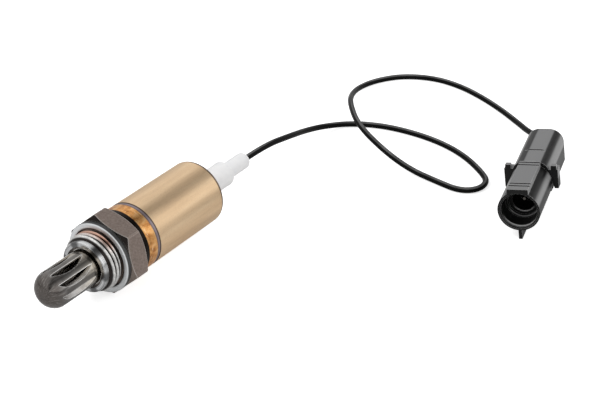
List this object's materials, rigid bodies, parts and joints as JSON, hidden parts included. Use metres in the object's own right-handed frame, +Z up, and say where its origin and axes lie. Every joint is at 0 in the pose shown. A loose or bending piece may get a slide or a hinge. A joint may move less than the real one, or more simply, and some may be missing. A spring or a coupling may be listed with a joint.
{
  "type": "oxygen sensor",
  "caption": "Unheated screw-in exhaust oxygen sensor with a slotted protection tube, hexagon, sleeve, white boot and a single lead ending in a sealed connector.",
  "frame": {"origin": "on the sensor's axis, at the hexagon's seat face that the gasket bears on", "axes": "+X along the sensor's axis towards its lead, so the protection tube points along -X; +Z up as the sensor lies on its hexagon with its lead and connector on the same table"},
  "size_m": [0.2056, 0.1046, 0.0246],
  "materials": {
    "housing_steel": "forged hexagon, turned and ground where bright",
    "tube_steel": "drawn and heat tinted",
    "gasket_steel": "bright folded strip",
    "sleeve_steel": "satin with a straw tint",
    "element_ceramic": "sintered, white",
    "seal_ring_metal": "plain",
    "contact_metal": "turned",
    "support_ceramic": "fired, matt",
    "spring_steel": "hardened",
    "bush_ceramic": "fired, matt",
    "terminal_metal": "tinned",
    "boot_white": "white, satin",
    "lead_black": "black insulation, glossy",
    "connector_black": "moulded, satin",
    "lock_black": "moulded, satin",
    "seal_rubber": "moulded"
  },
  "bodies": {
    "root": {"housing": "housing_steel", "protection_tube": "tube_steel", "gasket_ring": "gasket_steel", "protective_sleeve": "sleeve_steel", "sensor_element": "element_ceramic", "element_seal_ring": "seal_ring_metal", "contact_part": "contact_metal", "support_ceramic": "support_ceramic", "disc_spring": "spring_steel", "insulating_bush": "bush_ceramic", "lead_terminal": "terminal_metal", "lead_front_end": "lead_black", "boot": "boot_white", "lead": "lead_black", "lead_rear_end": "lead_black", "connector_body": "connector_black", "terminal_pin": "terminal_metal", "cable_seal": "seal_rubber", "secondary_lock": "lock_black"}
  },
  "joints": []
}
